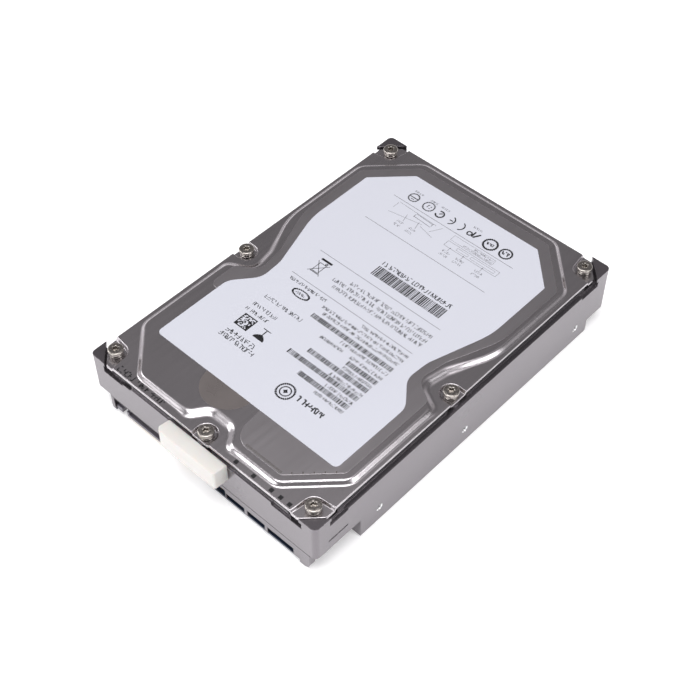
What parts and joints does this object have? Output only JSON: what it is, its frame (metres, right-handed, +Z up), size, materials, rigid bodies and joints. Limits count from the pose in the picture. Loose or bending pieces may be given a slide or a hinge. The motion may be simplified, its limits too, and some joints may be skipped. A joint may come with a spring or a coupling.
{
  "type": "hard disk drive",
  "caption": "Hard disk drive in the desktop size: cast base, pressed cover with label, serial connector, spinning disk pack and swinging head actuator.",
  "frame": {"origin": "centre of the rectangle of the four bottom mounting holes, on the face the drive is screwed down by", "axes": "+X to the right seen from the connector end, +Y from the connector end to the disk end, +Z up through the label"},
  "size_m": [0.1016, 0.1528, 0.0261],
  "materials": {
    "casting": "die-cast, grey e-coat, satin gloss",
    "cover": "pressed stainless sheet, glossy",
    "gasket": "matte",
    "damper": "satin",
    "label": "satin coated",
    "patch": "foil-backed seal",
    "white_plastic": "smooth, matte",
    "board": "solder mask",
    "foam": "foam",
    "screw": "nickel plated",
    "connector": "satin",
    "gold": "gold plated",
    "black_plastic": "satin",
    "chip": "moulded",
    "passive": "sintered",
    "filter": "non-woven",
    "steel": "ground",
    "laminations": "stacked sheet",
    "copper": "enamelled wire",
    "yoke": "nickel plated",
    "magnet": "nickel plated",
    "rubber": "matte",
    "flex": "polyimide film",
    "aluminium": "machined",
    "disk": "polished, coated",
    "ceramic": "lapped",
    "overmold": "glass-filled"
  },
  "bodies": {
    "chassis": {"base_casting": "casting", "top_cover": "cover", "cover_gasket": "gasket", "cover_damping_plate": "damper", "product_label": "label", "seal_patch": "patch", "end_bumper_block": "white_plastic", "circuit_board": "board", "board_insulator": "foam", "board_screws": "screw", "sata_connector_housing": "connector", "sata_contacts": "gold", "jumper_header": "black_plastic", "jumper_pins": "gold", "controller_chip": "chip", "memory_chip": "chip", "motor_driver_chip": "chip", "board_passives": "passive", "head_connector": "black_plastic", "breather_filter": "filter", "recirculation_filter": "filter", "motor_base": "steel", "spindle_shaft": "steel", "stator_core": "laminations", "stator_coils": "copper", "lower_yoke": "yoke", "lower_magnet": "magnet", "upper_magnet": "magnet", "upper_yoke": "yoke", "yoke_posts": "steel", "crash_stop": "rubber", "pivot_shaft": "steel", "flex_bracket": "black_plastic", "flex_cable": "flex", "latch_pin": "steel", "cover_screw_1": "screw", "cover_screw_2": "screw", "cover_screw_3": "screw", "cover_screw_4": "screw", "cover_screw_5": "screw", "cover_screw_6": "screw", "cover_screw_7": "screw"},
    "disk_pack": {"spindle_hub": "aluminium", "bearing_sleeve": "steel", "rotor_magnet": "magnet", "disk_spacers": "aluminium", "disk_clamp": "steel", "clamp_screws": "screw", "platter_1": "disk", "platter_2": "disk", "platter_3": "disk", "platter_4": "disk"},
    "actuator": {"arm_block": "aluminium", "head_suspensions": "steel", "read_heads": "ceramic", "voice_coil": "copper", "coil_overmold": "overmold", "pivot_bearing": "steel"},
    "latch": {"actuator_latch": "black_plastic"}
  },
  "joints": [
    {"name": "spindle_spin", "type": "hinge", "parent": "chassis", "child": "disk_pack", "pos_m": [0, 0.0325, 0], "axis": [0, 0, 1], "continuous": true},
    {"name": "actuator_swing", "type": "hinge", "parent": "chassis", "child": "actuator", "pos_m": [-0.022, -0.01987, 0], "axis": [0, 0, 1], "range_deg": [0, 29]},
    {"name": "latch_pivot", "type": "hinge", "parent": "chassis", "child": "latch", "pos_m": [-0.02957, -0.05548, 0], "axis": [0, 0, -1], "range_deg": [0, 12]}
  ]
}
